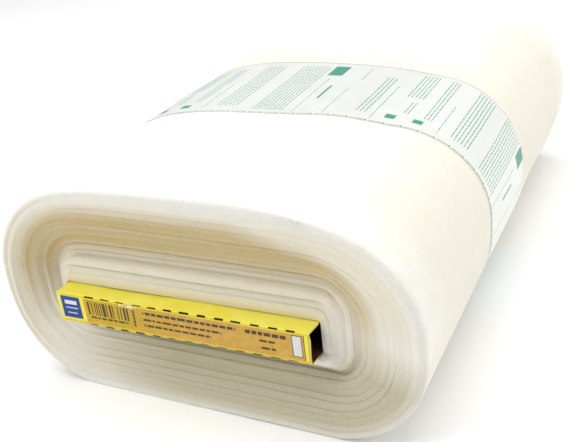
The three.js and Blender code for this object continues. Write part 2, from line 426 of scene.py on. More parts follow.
LAYER_GAP = 0.02         # between layers, and a little more in the loose inner turns
INNER_GAP = 0.06
LEAST_LAYER = 0.12
LOOSE_TURNS = 4
LOOSE_FADES = 2
EDGE_GAP = 0.25          # share of the gap that is kept at the loose edge
EDGE_GAP_RUN = 10
SUNK_FOAM = 0.62         # how far the band presses the foam in
SUNK_BAND = 0.1
SUNK_REACH = 4.5         # how far beside the band the foam begins to sink, and over what run
SUNK_RUN = 5
BAND_FILM = 0.3
BRIDGE_RUN = 14          # length over which the band climbs to the loose edge
UNDULATION = 0.45
CALM_RUN = 40            # length beside the loose edge over which that unevenness fades
LAST_PART = 0.04         # part of a turn over which the outermost turn starts
undulation = wander_over(55, 170, 10)

FREE_EDGE = 1            # length of the loose edge that stands free at the roll's near end
HELD_RUN = 3             # length over which it is then pressed to a long ramp
LOOSE_EDGE_RUN = 3.5
LOOSE_EDGE_KEPT = 0.3
PRESSED_EDGE_RUN = 60
PRESSED_EDGE_KEPT = 0.012
CRUSH_POWER = 0.6

# The sheet's edges at the roll's ends: depths at heights from its outer face to its inner one
EDGE_HEIGHTS = np.array([1, 0.9, 0.72, 0.5, 0.28, 0.1, 0])
EDGE_DEPTHS = np.array([0.75, 0.42, 0.12, 0, 0, 0.08, 0.25])
RIDGE_DEPTHS = np.array([2.6, 1.5, 0.6, 0.12, 0, 0, 0.1])
RIM_DEPTHS = np.array([6.2, 3.7, 2.0, 0.85, 0.25, 0, 0])
RIM_UNDER = 0.15         # share of the rim's rounding that is left underneath
RIM_LEFT = 0.5           # and at the left side
EDGE_ROUGH = 0.05
RIM_CLEAR = 0.2          # the sheet's edges stay this far behind the roll's ends
ROUNDNESS = (0.45, 1.1)
ROUNDNESS_LIMITS = (0.4, 1.2)
ROUNDNESS_SIDE = 0.5     # share of it that is left underneath, and at the left side
ROUNDNESS_OUTER = 0.15
EVEN_LAYER = 5           # thickness of a layer whose edges are rounded in full
FLUSH_RIDGES = 0.2       # how far the layers' ends run on to the next: 1 is without a step
FLUSH_LAYERS = 0.8
SLIP = 0.3               # how far the layers' ends stand out or back from the dish
RIDGE_SLIP = 0.95        # and how far over the board
OUTER_SLIP = 0.2
SLIP_LENGTHS = (1.1, 3.6)

# Where a part of the ends begins, and over what it fades in: in turns, or by the outward
# direction's share upwards or to a side
RIM_TURNS, RIM_FADES = 1.03, 0.06
OUTER_TURNS, OUTER_FADES = 4, 2.6
RIDGE_TURNS, RIDGE_TURNS_FADE = 5.5, 2
RIDGE_UP, RIDGE_UP_FADES = 0.6, 0.38
BOARD_UP_FADES = 0.9
SIDE_FADES = 0.8
LEFT_FADES = 0.5

# Steps of the sheet's mesh: in mm before the loose edge, in turns from the inner end, and in
# mm along the roll from its ends and from the band's edges
TAIL_STEPS = (0, 0.35, 0.9, 1.7, 2.6, 4, 7, 11, 16, 22, 30, 38, 46, 54)
INNER_STEPS = (0, 0.02, 0.05)
END_STEP = 9
BESIDE_BAND = (4, 0.4, 3)


def surface_lift(share, y):
    """Soft unevenness of the roll's outside, which ends at the loose edge."""
    run = share * section.round
    calm = smooth((1 - share) / LAST_PART) * smooth(run / CALM_RUN)
    return UNDULATION * undulation(run, y) * calm


def band_press(x, y):
    """How far the foam is pressed in under the band, as a share."""
    near = smooth((y - band_near(x) + SUNK_REACH) / SUNK_RUN)
    far = smooth((band_far(x) - y + SUNK_REACH) / SUNK_RUN)
    return near * far


def crush(distance, y):
    """Thickness kept by the sheet at a distance from its loose edge."""
    held = smooth((y + SHEET_WIDTH / 2 - FREE_EDGE) / HELD_RUN)
    run = mix(LOOSE_EDGE_RUN, PRESSED_EDGE_RUN, held)
    least = mix(LOOSE_EDGE_KEPT, PRESSED_EDGE_KEPT, held)
    return mix(least, 1, smooth(distance / run) ** CRUSH_POWER)


def foam_rows(x, near, far):
    """Places along Y of the lengthwise rows, from the near end to the far one."""
    start, end = band_near(x), band_far(x)
    middle = (start + end) / 2
    before, close, inside = BESIDE_BAND
    return np.stack([
        near, near + END_STEP, mix(near, start, 0.3), mix(near, start, 0.7),
        start - before, start - close, start + inside, middle,
        end - inside, end + close, end + before,
        mix(end, far, 0.3), mix(end, far, 0.7), far - END_STEP, far,
    ], -1)


def sheet_steps():
    """The turns at which the sheet's section is drawn, from its inner end to its loose edge."""
    turns = [TURNS - turn - section.steps[:-1] for turn in range(math.ceil(TURNS))]
    tail = TURNS - np.array(TAIL_STEPS) / section.round
    w = np.concatenate([*turns, tail, INNER_STEPS])
    return np.unique(np.round(w[w >= 0], 5))


def layer_faces(w, up, size, distance):
    """Shares of the way out at which each turn has its inner and its outer face."""
    over_board = smooth(up / BOARD_UP_FADES)
    gap = mix(INNER_GAP, LAYER_GAP, smooth((w - LOOSE_TURNS) / LOOSE_FADES)) / size
    gap *= mix(EDGE_GAP, 1, smooth(distance / EDGE_GAP_RUN))
    outer_u = wound_share(w, over_board)
    inner_u = np.where(w < 1, 0, wound_share(w - 1, over_board)) + gap
    return inner_u, np.maximum(outer_u, inner_u + LEAST_LAYER / size)


def sheet_ends(w, normal, size, inner_u, outer_u):
    """Places along Y of the sheet's near and far edge, a column for each height of the edge."""
    right, up = normal.T
    leftness = smooth(-right / LEFT_FADES)
    leftside = smooth(-right / SIDE_FADES)
    underneath = smooth(-up / SIDE_FADES)
    rimness = smooth((w - TURNS + RIM_TURNS) / RIM_FADES)
    ridge = smooth((up - RIDGE_UP) / RIDGE_UP_FADES) * smooth((RIDGE_TURNS - w) / RIDGE_TURNS_FADE)
    ridge *= 1 - leftness
    outer = smooth((w - TURNS + OUTER_TURNS) / OUTER_FADES)
    leftward = leftness * (1 - ridge)

    flush = mix(mix(FLUSH_LAYERS, FLUSH_RIDGES, ridge), 1, np.maximum(outer, leftward))[:, None]
    level = w[:, None] + (EDGE_HEIGHTS[None] - 0.5) * flush
    near_bend = wander(*SLIP_LENGTHS, 12)
    far_bend = wander(*SLIP_LENGTHS, 12)
    slip = mix(mix(SLIP, RIDGE_SLIP, ridge), OUTER_SLIP, outer)[:, None]
    edge_u = mix(inner_u[:, None], outer_u[:, None], EDGE_HEIGHTS[None])
    valley = VALLEY_DEPTH - VALLEY_RISE * smooth(right / SIDE_FADES)
    beside = mix(BOARD_SIDE_DEPTH, BOARD_UNDER_DEPTH, smooth(-up / BOARD_UP_FADES))
    by_layer = end_depth((outer_u + inner_u) / 2, valley, beside)[:, None]
    sloped = mix(by_layer, end_depth(edge_u, valley[:, None], beside[:, None]), flush)

    roundness = mix(*ROUNDNESS, smooth(0.5 + 0.6 * wander(0.7, 2.3, 8)(w)))
    roundness *= mix(1, ROUNDNESS_SIDE, underneath)
    roundness = mix(roundness * mix(1, ROUNDNESS_SIDE, leftward), ROUNDNESS_OUTER, outer)
    roundness *= np.clip(size / TURNS / EVEN_LAYER, *ROUNDNESS_LIMITS)
    rim_size = mix(1, RIM_UNDER, underneath) * mix(1, RIM_LEFT, leftside)
    profile = mix(EDGE_DEPTHS[None] * roundness[:, None], RIDGE_DEPTHS[None], ridge[:, None])
    profile = mix(profile, RIM_DEPTHS[None] * rim_size[:, None], rimness[:, None])
    profile = profile + rng.normal(0, EDGE_ROUGH, profile.shape)
    half = SHEET_WIDTH / 2
    near = -half + np.maximum(sloped + near_bend(level) * slip + profile, RIM_CLEAR)
    far = half - np.maximum(sloped + far_bend(level) * slip + profile, RIM_CLEAR)
    return near, far


def foam_sheet(material):
    """The foam as one closed sheet: a ring of points round its section for each step of w."""
    w = sheet_steps()
    share = np.mod(TURNS - w, 1)
    outside, normal, slot = section.at(share)
    reach = outside - slot
    size = np.hypot(*reach.T)
    distance = (TURNS - w) * section.round
    inner_u, outer_u = layer_faces(w, normal[:, 1], size, distance)
    near, far = sheet_ends(w, normal, size, inner_u, outer_u)
    x_outer = (slot + reach * outer_u[:, None])[:, 0]
    rows_outer = foam_rows(x_outer, near[:, 0], far[:, 0])
    rows_inner = foam_rows(x_outer, near[:, -1], far[:, -1])
    inner_edge = slice(1, -1)
    heights = EDGE_HEIGHTS[inner_edge]

    count = rows_outer.shape[1]
    y = np.hstack([rows_outer, far[:, inner_edge], rows_inner[:, ::-1], near[:, inner_edge][:, ::-1]])
    height = np.concatenate([np.ones(count), heights, np.zeros(count), heights[::-1]])[None]
    outermost = smooth((w - TURNS + 1) / LAST_PART)[:, None] * height
    kept = crush(distance[:, None], y)
    u = mix(inner_u[:, None], outer_u[:, None], height * kept)
    points = slot[:, None] + reach[:, None] * u[..., None]
    sunk = SUNK_FOAM * band_press(x_outer[:, None], y) * kept
    lift = surface_lift(share[:, None], y) - sunk
    points = points + normal[:, None] * (lift * outermost)[..., None]
    z = np.maximum(points[..., 1], FLOOR_Z)
    cloud = np.stack([points[..., 0], y, z], -1)

    steps, ring = y.shape
    faces = grid_faces(steps, ring)
    faces += cap_faces(0, ring, count, False)
    faces += cap_faces((steps - 1) * ring, ring, count, True)
    piece = mesh_piece("foam_sheet", cloud.reshape(-1, 3), faces, [material])
    rounded = np.ones(len(faces), bool)
    rounded[(steps - 1) * ring:] = False
    piece.data.polygons.foreach_set("use_smooth", rounded)
    from_end = np.minimum(y - near.min(1)[:, None], far.max(1)[:, None] - y)
    corners = (0, count - 1, count + len(heights), 2 * count + len(heights) - 1)
    sharpen_edges(piece, ring, corners)
    point_value(piece, "depth", u.ravel())
    point_value(piece, "layer", np.broadcast_to(w[:, None], y.shape).ravel())
    point_value(piece, "from_end", from_end.ravel())
    return piece


def sharpen_edges(piece, ring, corners):
    """Keeps the shading of the sheet's edges and of its loose end apart from its two faces."""
    mesh = piece.data
    ends = np.zeros(2 * len(mesh.edges), int)
    mesh.edges.foreach_get("vertices", ends)
    place = ends.reshape(-1, 2) % ring
    last = ends.reshape(-1, 2).min(1) >= ends.max() + 1 - ring
    sharp = last | (place[:, 0] == place[:, 1]) & np.isin(place[:, 0], corners)
    attribute = mesh.attributes.new("sharp_edge", "BOOLEAN", "EDGE")
    attribute.data.foreach_set("value", sharp)


def grid_faces(steps, ring):
    """Quads between neighbouring rings of the same number of points."""
    a = np.arange(steps - 1)[:, None] * ring
    k = np.arange(ring)[None]
    k1 = (k + 1) % ring
    quads = np.stack([a + k, a + k1, a + ring + k1, a + ring + k], -1)
    return quads.reshape(-1, 4).tolist()


def cap_faces(first, ring, count, flip):
    """Closes a sheet's section: quads between its outer and inner rows, and its two edges."""
    pairs = []
    edge = (ring - 2 * count) // 2
    outer = [first + k for k in range(count)]
    inner = [first + 2 * count + edge - 1 - k for k in range(count)]
    for k in range(count - 1):
        pairs.append([outer[k], outer[k + 1], inner[k + 1], inner[k]])
    far_edge = [outer[-1]] + [first + count + k for k in range(edge)] + [inner[-1]]
    near_edge = [inner[0]] + [first + 2 * count + edge + k for k in range(edge)] + [outer[0]]
    faces = pairs + [far_edge, near_edge]
    return faces if flip else [face[::-1] for face in faces]


# Node helpers for the materials

class Shader:
    """A material's node tree, with short calls for the nodes that are used here."""

    def __init__(self, name):
        self.material = bpy.data.materials.new(name)
        self.material.use_nodes = True
        self.tree = self.material.node_tree
        self.surface = next(n for n in self.tree.nodes if n.type == "BSDF_PRINCIPLED")

    def node(self, kind, inputs=(), **settings):
        made = self.tree.nodes.new(kind)
        for key, value in settings.items():
            setattr(made, key, value)
        for key, value in dict(inputs).items():
            self.put(made.inputs[key], value)
        return made

    def put(self, socket, value):
        if isinstance(value, bpy.types.NodeSocket):
            self.tree.links.new(value, socket)
        else:
            socket.default_value = value

    def set(self, name, value):
        self.put(self.surface.inputs[name], value)

    def coat(self, colour, roughness, specular):
        self.set("Base Color", colour)
        self.set("Roughness", roughness)
        self.set("Specular IOR Level", specular)

    def math(self, operation, *values):
        made = self.node("ShaderNodeMath", operation=operation)
        for socket, value in zip(made.inputs, values):
            self.put(socket, value)
        return made.outputs[0]

    def product(self, *values):
        return reduce(lambda a, b: self.math("MULTIPLY", a, b), values)

    def highest(self, *values):
        return reduce(lambda a, b: self.math("MAXIMUM", a, b), values)

    def blend(self, factor, a, b):
        made = self.node("ShaderNodeMix", data_type="RGBA")
        self.put(made.inputs["Factor"], factor)
        for index, value in ((6, a), (7, b)):
            self.put(made.inputs[index], value)
        return made.outputs[2]

    def ramp(self, value, low, high, to_low=0.0, to_high=1.0):
        made = self.node("ShaderNodeMapRange", {
            "Value": value, "From Min": low, "From Max": high, "To Min": to_low, "To Max": to_high,
        })
        return made.outputs[0]

    def attribute(self, name):
        return self.node("ShaderNodeAttribute", attribute_name=name).outputs["Fac"]

    def place(self):
        return self.node("ShaderNodeTexCoord").outputs["Object"]

    def parts(self, vector):
        return self.node("ShaderNodeSeparateXYZ", {"Vector": vector}).outputs

    def noise(self, scale, detail=2.0, vector=None):
        made = self.node("ShaderNodeTexNoise", {
            "Vector": vector or self.place(), "Scale": scale, "Detail": detail,
        })
        return made.outputs["Fac"]

    def cells(self, scale):
        made = self.node("ShaderNodeTexVoronoi", {"Vector": self.place(), "Scale": scale})
        return made.outputs["Distance"]

    def bump(self, height, distance, strength=1.0):
        made = self.node("ShaderNodeBump", {
            "Height": height, "Distance": distance, "Strength": strength,
        })
        self.set("Normal", made.outputs[0])


def rgb(red, green, blue):
    """A colour given as it looks on a screen, from 0 to 255."""
    def linear(value):
        value /= 255
        return value / 12.92 if value <= 0.04045 else ((value + 0.055) / 1.055) ** 2.4
    return (linear(red), linear(green), linear(blue), 1.0)


FOAM_CREAM = rgb(234, 230, 216)
FOAM_TINTED = rgb(238, 226, 180)
FOAM_PALE = rgb(243, 242, 238)
FOAM_END = rgb(236, 230, 212)
# Painted shadow: the board's shadow on the near end face below it
FOAM_BOARD_SHADOW = rgb(197, 190, 166)
# Painted shade: the warm tan shade of the dish's upper wall
FOAM_DISH_SHADE = rgb(195, 172, 117)
FOAM_SPECK = rgb(225, 219, 197)
# Specks inside the painted shade and the painted shadow of the roll's ends
FOAM_SHADE_SPECK = rgb(220, 208, 170)
FILM_WHITE = rgb(222, 224, 219)
# Painted light: the film's lighter colour on the roll's right side
FILM_LIT_SIDE = rgb(236, 239, 232)
FILM_INK = rgb(49, 145, 122)
FILM_GREY_INK = rgb(62, 80, 76)
FILM_SHADE = rgb(214, 217, 212)
CARD_YELLOW = rgb(244, 236, 102)
CARD_WORN = rgb(231, 221, 186)
CARD_CUT = rgb(206, 180, 96)
CARD_SHADE = rgb(241, 227, 70)
# The inside card's colours, also put on the slits' walls as painted shade
CARD_INSIDE = rgb(96, 62, 38)
CARD_DARK = rgb(58, 34, 20)
LABEL_TAN = rgb(204, 158, 70)
LABEL_GOLD = rgb(198, 160, 19)
LABEL_YELLOW = rgb(244, 227, 64)
LABEL_LOW = rgb(216, 188, 46)
LABEL_BLUE = rgb(17, 63, 143)
LABEL_INK = rgb(36, 34, 26)
LABEL_PALE = rgb(222, 222, 222)


# Zones of the foam's colour. Each is a product of ramps: a measure, where the ramp starts and
# where it is full, and its values there if they aren't 0 and 1. Depth is the share of the way
# out, along and rise are places in metres, and from_end is in mm from the nearer end.
FOAM_ZONES = {
    # Painted shade: tan over the layers' ends in the dish, between the board and the rim, on the upper
    # half and towards the right side; narrowing keeps it off the rim at the right
    "tan": (
        ("depth", 0.2, 0.4), ("narrowed", 0.84, 0.66),
        ("from_end", 12, 2), ("tone", 0.35, 0.65, 0.7, 1),
    ),
    "tan_high": (("rise", 0.04, 0.095),),
    "tan_right": (("along", -0.11, -0.03, 0, 0.5),),
    "narrowing": (("along", 0.03, 0.12, 0, 0.32),),
    # Painted shadow: the board's shadow on the near end face below it, kept clear of the rim and of the
    # first layers under the board
    "grey": (
        ("rise", 0.075, 0.045), ("along", -0.13, -0.03),
        ("depth", 0.1, 0.3), ("from_end", 20, 4), ("depth", 1, 0.8),
    ),
    "cream": (("depth", 0.96, 0.72), ("rise", 0.06, 0.1, 0.4, 1)),
    # Painted light: off_board and above_board keep the first layers just under the board pale, where the
    # board shades them
    "off_board": (("depth", 0.1, 0.3),),
    "above_board": (("rise", 0.05, 0.07),),
    # Painted shade on the left of the near end face
    "left_end_shade": (("along", -0.09, -0.15), ("from_end", 20, 5)),
    "middle": (("from_end", 110, 230),),
    "right_side": (("along", 0.07, 0.13), ("from_end", 1, 50)),
    "tinted": (("depth", 0.09, 0.04), ("rise", 0.075, 0.085, 0, 0.8), ("from_end", 14, 3)),
    "specks": (("fine", 0.52, 0.7, 0, 0.55),),
    "mottles": (("mottled", 0.35, 0.75, 0, 0.25),),
}
FINE_SHARE = 0.7         # of the fine grain and the cells in the foam's bump
CELL_SHARE = 0.5


def foam_material():
    s = Shader("foam")
    place = s.parts(s.place())
    fine = s.noise(scale=900, detail=3)
    layer = s.node("ShaderNodeCombineXYZ", {"X": s.attribute("layer")}).outputs[0]
    measures = {
        "depth": s.attribute("depth"), "from_end": s.attribute("from_end"),
        "along": place["X"], "rise": place["Z"],
        "fine": fine, "mottled": s.noise(scale=70, detail=3),
        "tone": s.noise(scale=3.0, detail=2, vector=layer),
    }

    def zone(name):
        return s.product(*(s.ramp(measures[key], *limits) for key, *limits in FOAM_ZONES[name]))

    def either(one, other):
        return s.highest(zone(one), zone(other))

    measures["narrowed"] = s.math("ADD", measures["depth"], zone("narrowing"))
    specks = zone("specks")
    tan = s.product(zone("tan"), either("tan_high", "tan_right"))
    # Painted light: just under the board the end face stays pale
    creamy = s.product(zone("cream"), either("off_board", "above_board"))
    # The left of the near end takes the darker end colour as painted shade
    end = s.blend(s.highest(creamy, zone("left_end_shade")), FOAM_PALE, FOAM_END)
    colour = s.blend(either("middle", "right_side"), end, FOAM_CREAM)
    colour = s.blend(specks, colour, FOAM_SPECK)
    colour = s.blend(zone("mottles"), colour, FOAM_SPECK)
    # Painted shade: the dish's upper wall goes tan, with lighter specks
    colour = s.blend(tan, colour, s.blend(specks, FOAM_DISH_SHADE, FOAM_SHADE_SPECK))
    # Painted shadow of the board on the end face below it
    colour = s.blend(zone("grey"), colour, s.blend(specks, FOAM_BOARD_SHADOW, FOAM_SHADE_SPECK))
    colour = s.blend(zone("tinted"), colour, FOAM_TINTED)
    s.coat(colour, roughness=0.92, specular=0.15)
    s.set("Sheen Weight", 0.15)
    s.set("Sheen Roughness", 0.6)
    cells = s.product(s.cells(scale=1300), CELL_SHARE)
    grain = s.math("ADD", s.product(fine, FINE_SHARE), cells)
    s.bump(grain, distance=0.0006, strength=0.8)
    return s.material


# The band

def skin(share, y):
    """Point of the foam's outside at a share and a place along Y, with the loose edge bridged."""
    outside, normal, slot = section.at(share)
    reach = outside - slot
    x = outside[..., 0]
    run = share * section.round
    kept = crush(run, y)
    gap = LAYER_GAP / np.hypot(reach[..., 0], reach[..., 1])
    gap = gap * mix(EDGE_GAP, 1, smooth(run / EDGE_GAP_RUN))
    outer_u = wound_share(TURNS - share)
    inner_u = wound_share(TURNS - 1 - share) + gap
    bridged = (gap + crush(0, y) / TURNS) * smooth(1 - (section.round - run) / BRIDGE_RUN)
    u = mix(inner_u, outer_u, kept) + bridged
    point = slot + reach * u[..., None]
    sunk = SUNK_FOAM * band_press(x, y) * kept * smooth((1 - share) / LAST_PART)
    lift = surface_lift(share, y) - sunk
    return point + normal * lift[..., None], normal


BAND_STEPS = (0.35, 0.9, 1.7, 3, 6, 10, 16, 22, 30, 38, 46, 54)    # mm from the loose edge
TOP_STEPS = 60           # steps from the loose edge that are all over the top
BAND_ROWS = (0, 0.03, 0.12, 0.3, 0.5, 0.7, 0.88, 0.97, 1)


def band_strip(material):
    """The band as a closed loop of film: its outer rows, then its inner ones."""
    share = np.concatenate([section.steps[:-1], mix(section.steps[:-1], section.steps[1:], 0.5)])
    tail = np.array(BAND_STEPS) / section.round
    share = np.unique(np.round(np.concatenate([share, tail, 1 - tail]), 6))
    share = share[share < 1]
    outside = section.at(share)[0]
    start, end = band_near(outside[:, 0]), band_far(outside[:, 0])
    y = mix(start[:, None], end[:, None], np.array(BAND_ROWS)[None])
    wide = np.broadcast_to(share[:, None], y.shape)
    point, normal = skin(wide, y)
    skins = []
    for stands in (SUNK_FOAM - SUNK_BAND, SUNK_FOAM - SUNK_BAND - BAND_FILM):
        shifted = point + normal * stands
        z = np.maximum(shifted[..., 1], FLOOR_Z + SUNK_FOAM - stands)
        skins.append(np.stack([shifted[..., 0], y, z], -1))
    cloud = np.concatenate([skins[0], skins[1][:, ::-1]], 1)
    steps, ring = cloud.shape[:2]
    faces = (np.array(grid_faces(steps + 1, ring)) % (steps * ring)).tolist()
    piece = mesh_piece("printed_band", cloud.reshape(-1, 3), faces, [material])
    run = share * section.round
    over_middle = np.interp(0, outside[:TOP_STEPS, 0][::-1], run[:TOP_STEPS][::-1])
    run = over_middle - run
    run = np.where(run < -section.round / 2, run + section.round, run)
    wide_run = np.broadcast_to(run[:, None], y.shape)
    level = y - start[:, None]
    around = np.concatenate([wide_run, wide_run[:, ::-1]], 1)
    across = np.concatenate([level, level[:, ::-1]], 1)
    print_map(piece, around.ravel(), across.ravel())
    return piece


THIN_INK = 0.8           # how much of the film the inks cover
BOLD_INK = 0.95
CLOUDS = (0.35, 0.7)
# Painted light: over this run round the roll the film turns lighter
LIT_SIDE_FROM = (60.0, 160.0)    # mm round the roll, towards its right side
CREASE_STRETCH = (1.0, 0.22, 1.0)


def film_material():
    s = Shader("film")
    parts = s.parts(s.node("ShaderNodeUVMap", uv_map="print").outputs[0])
    around, across = parts["X"], parts["Y"]
    repeat = s.math("WRAP", around, *BAND_REPEAT)
    thin = []
    for left, right, low, high, pitch, weight in BAND_LINES:
        box = print_box(s, repeat, across, left, right, low, high)
        row = s.math("FLOOR", s.math("DIVIDE", s.math("SUBTRACT", repeat, left), pitch))
        words = words_mask(s, across, s.math("ADD", row, left), WORD_LENGTH)
        thin.append(s.product(box, rows_mask(s, repeat, left, pitch, weight), words))
    bold = [print_box(s, repeat, across, *block) for block in BAND_BLOCKS]
    pace = s.math("WRAP", around, TICK_PITCH, 0.0)
    dash = TICK_PITCH * RULE_DASH
    on_rule = s.math("COMPARE", across, RULE_AT, RULE_WEIGHT / 2)
    on_dash = s.math("LESS_THAN", pace, dash)
    beside_rule = s.math("COMPARE", across, RULE_AT, TICK_LENGTH / 2)
    on_tick = s.math("COMPARE", pace, dash - RULE_WEIGHT / 2, RULE_WEIGHT / 2)
    rule = s.highest(s.product(on_rule, on_dash), s.product(beside_rule, on_tick))
    colour = s.blend(s.ramp(s.noise(scale=40, detail=3), *CLOUDS), FILM_WHITE, FILM_SHADE)
    # Painted light: the film is lighter towards the roll's right side
    colour = s.blend(s.ramp(around, *LIT_SIDE_FROM), colour, FILM_LIT_SIDE)
    colour = s.blend(s.product(s.highest(*thin), THIN_INK), colour, FILM_INK)
    colour = s.blend(s.product(s.highest(*bold), BOLD_INK), colour, FILM_INK)
    colour = s.blend(s.product(rule, BOLD_INK), colour, FILM_GREY_INK)
    s.coat(colour, roughness=0.42, specular=0.4)
    s.set("Subsurface Weight", 0.2)
    s.set("Subsurface Radius", (1.0, 1.0, 1.0))
    s.set("Subsurface Scale", 0.002)
    stretched = s.node("ShaderNodeMapping", {"Vector": s.place(), "Scale": CREASE_STRETCH}).outputs[0]
    s.bump(s.noise(scale=26, detail=4, vector=stretched), distance=0.0025, strength=0.5)
    return s.material


# The board: a folded sleeve, slit along its two folds at the near end so that it bends sharply

def fold_profile(inset):
    """The sleeve's section along Y and Z, from the near bottom fold round the front."""
    radius = BOARD_FOLD - inset
    corners = (
        (BOARD_NEAR_Y + BOARD_FOLD, BOARD_FOLD - BOARD_THICKNESS / 2, math.pi),
        (BOARD_NEAR_Y + BOARD_FOLD, BOARD_THICKNESS / 2 - BOARD_FOLD, QUARTER),
        (BOARD_FAR_Y - BOARD_FOLD, BOARD_THICKNESS / 2 - BOARD_FOLD, 0),
        (BOARD_FAR_Y - BOARD_FOLD, BOARD_FOLD - BOARD_THICKNESS / 2, -QUARTER),
    )
    rows = []
    for number, (y, z, start) in enumerate(corners):
        for angle in np.linspace(start + QUARTER, start, FOLD_STEPS + 1):
            rows.append((y + radius * math.cos(angle), z + radius * math.sin(angle)))
        rows += flat_rows(rows[-1], corners[(number + 1) % 4], radius, number)
    return np.array(rows)


def flat_rows(last, following, radius, number):
    """Points along the flat that follows a fold."""
    y, z, start = following
    target = (y + radius * math.cos(start + QUARTER), z + radius * math.sin(start + QUARTER))
    shares = FLAT_SHARES if number % 2 else FRONT_SHARES
    return [(mix(last[0], target[0], t), mix(last[1], target[1], t)) for t in shares]


def slit_spans():
    """Where the slits start and end along X, from the board's middle."""
    spans = []
    for i in range(SLIT_COUNT):
        middle = SLIT_FIRST + SLIT_PITCH * i + rng.uniform(-SLIT_STRAY, SLIT_STRAY)
        length = rng.uniform(*SLIT_LENGTHS)
        spans.append((middle - length / 2, middle + length / 2))
    return spans


top_slits = slit_spans()
bottom_slits = slit_spans()


# The inside material also covers the slits' walls, as painted shade that makes the slits look black
PRINTED, INSIDE_AND_SLIT_SHADE, CUT = 0, 1, 2    # the sleeve's materials

# Corners of a bit of the card's faces: steps along X, outer or inner skin, steps round it
CARD_FACES = {
    "outer": ((0, 0, 0), (0, 0, 1), (1, 0, 1), (1, 0, 0)),
    "inner": ((0, 1, 0), (1, 1, 0), (1, 1, 1), (0, 1, 1)),
    "left": ((0, 0, 0), (0, 1, 0), (0, 1, 1), (0, 0, 1)),
    "right": ((1, 0, 0), (1, 0, 1), (1, 1, 1), (1, 1, 0)),
    "before": ((0, 0, 0), (1, 0, 0), (1, 1, 0), (0, 1, 0)),
    "after": ((0, 0, 1), (0, 1, 1), (1, 1, 1), (1, 0, 1)),
}


def board_sleeve(materials):
    outer, inner = fold_profile(0), fold_profile(BOARD_WALL)
    count = len(outer)
    half = BOARD_WIDTH / 2
    spans = {"top": top_slits, "bottom": bottom_slits}
    columns = [edge for span in spans["top"] + spans["bottom"] for edge in span]
    columns = np.array(sorted(columns + list(np.linspace(-half, half, BOARD_COLUMNS))))
    columns = columns[np.r_[True, np.diff(columns) > LEAST_COLUMN]]
    across = len(columns)
    fold_size = FOLD_STEPS + 1 + len(FRONT_SHARES)
    slit_rows = {
        "bottom": set(range(*SLIT_ROWS["bottom"])),
        "top": {fold_size + row for row in range(*SLIT_ROWS["top"])},
    }

    def is_open(column, row):
        middle = (columns[column] + columns[column + 1]) / 2
        return any(
            row in slit_rows[fold] and start < middle < end
            for fold in spans for start, end in spans[fold]
        )

    ragged = rng.normal(0, BOARD_RAGGED, (2, count))
    warp = wander_over(60, 150, 6)
    cloud = np.zeros((across, 2, count, 3))
    for side, profile in enumerate((outer, inner)):
        x = np.broadcast_to(columns[:, None], (across, count)).copy()
        x[0] += ragged[0]
        x[-1] += ragged[1] - FLARE * smooth(1 - (profile[:, 0] - BOARD_NEAR_Y) / FLARE_RUN)
        bow = BOARD_WARP * warp(x, profile[None, :, 0]) * smooth((half - np.abs(x)) / WARP_RUN)
        is_flat = np.abs(np.abs(profile[:, 1]) - BOARD_THICKNESS / 2) < BOARD_WALL + 0.01
        z = profile[None, :, 1] + np.where(is_flat, bow, 0)
        y = np.broadcast_to(profile[None, :, 0], x.shape)
        x, z = on_board(x, z)
        cloud[:, side] = np.stack([x, y, z], -1)

    faces, kinds = [], []

    def add(column, row, name, kind):
        corners = CARD_FACES[name]
        faces.append([((column + i) * 2 + side) * count + (row + k) % count for i, side, k in corners])
        kinds.append(kind)

    for c in range(across - 1):
        for r in range(count):
            if is_open(c, r):
                continue
            add(c, r, "outer", PRINTED)
            add(c, r, "inner", INSIDE_AND_SLIT_SHADE)
            # Walls beside a slit take the inside material as painted shade, so the slits look black
            if c == 0 or is_open(c - 1, r):
                add(c, r, "left", CUT if c == 0 else INSIDE_AND_SLIT_SHADE)
            if c == across - 2 or is_open(c + 1, r):
                add(c, r, "right", CUT if c == across - 2 else INSIDE_AND_SLIT_SHADE)
            if is_open(c, (r - 1) % count):
                add(c, r, "before", INSIDE_AND_SLIT_SHADE)
            if is_open(c, (r + 1) % count):
                add(c, r, "after", INSIDE_AND_SLIT_SHADE)
    piece = mesh_piece("board_sleeve", cloud.reshape(-1, 3), faces, materials, False)
    piece.data.polygons.foreach_set("material_index", kinds)
    return piece


CARD_PATCHES = (0.35, 0.7)
CARD_FIBRES = (0.6, 0.72)


def card_material(name, base, shade, worn_share):
    s = Shader(name)
    fibres = s.noise(scale=420, detail=4)
    patches = s.noise(scale=55, detail=3)
    worn = s.product(s.ramp(fibres, *CARD_FIBRES), worn_share)
    colour = s.blend(s.ramp(patches, *CARD_PATCHES), base, shade)
    colour = s.blend(worn, colour, CARD_WORN)
    s.coat(colour, roughness=0.62, specular=0.3)
    s.bump(fibres, distance=0.00025, strength=0.5)
    return s.material


# The printed label

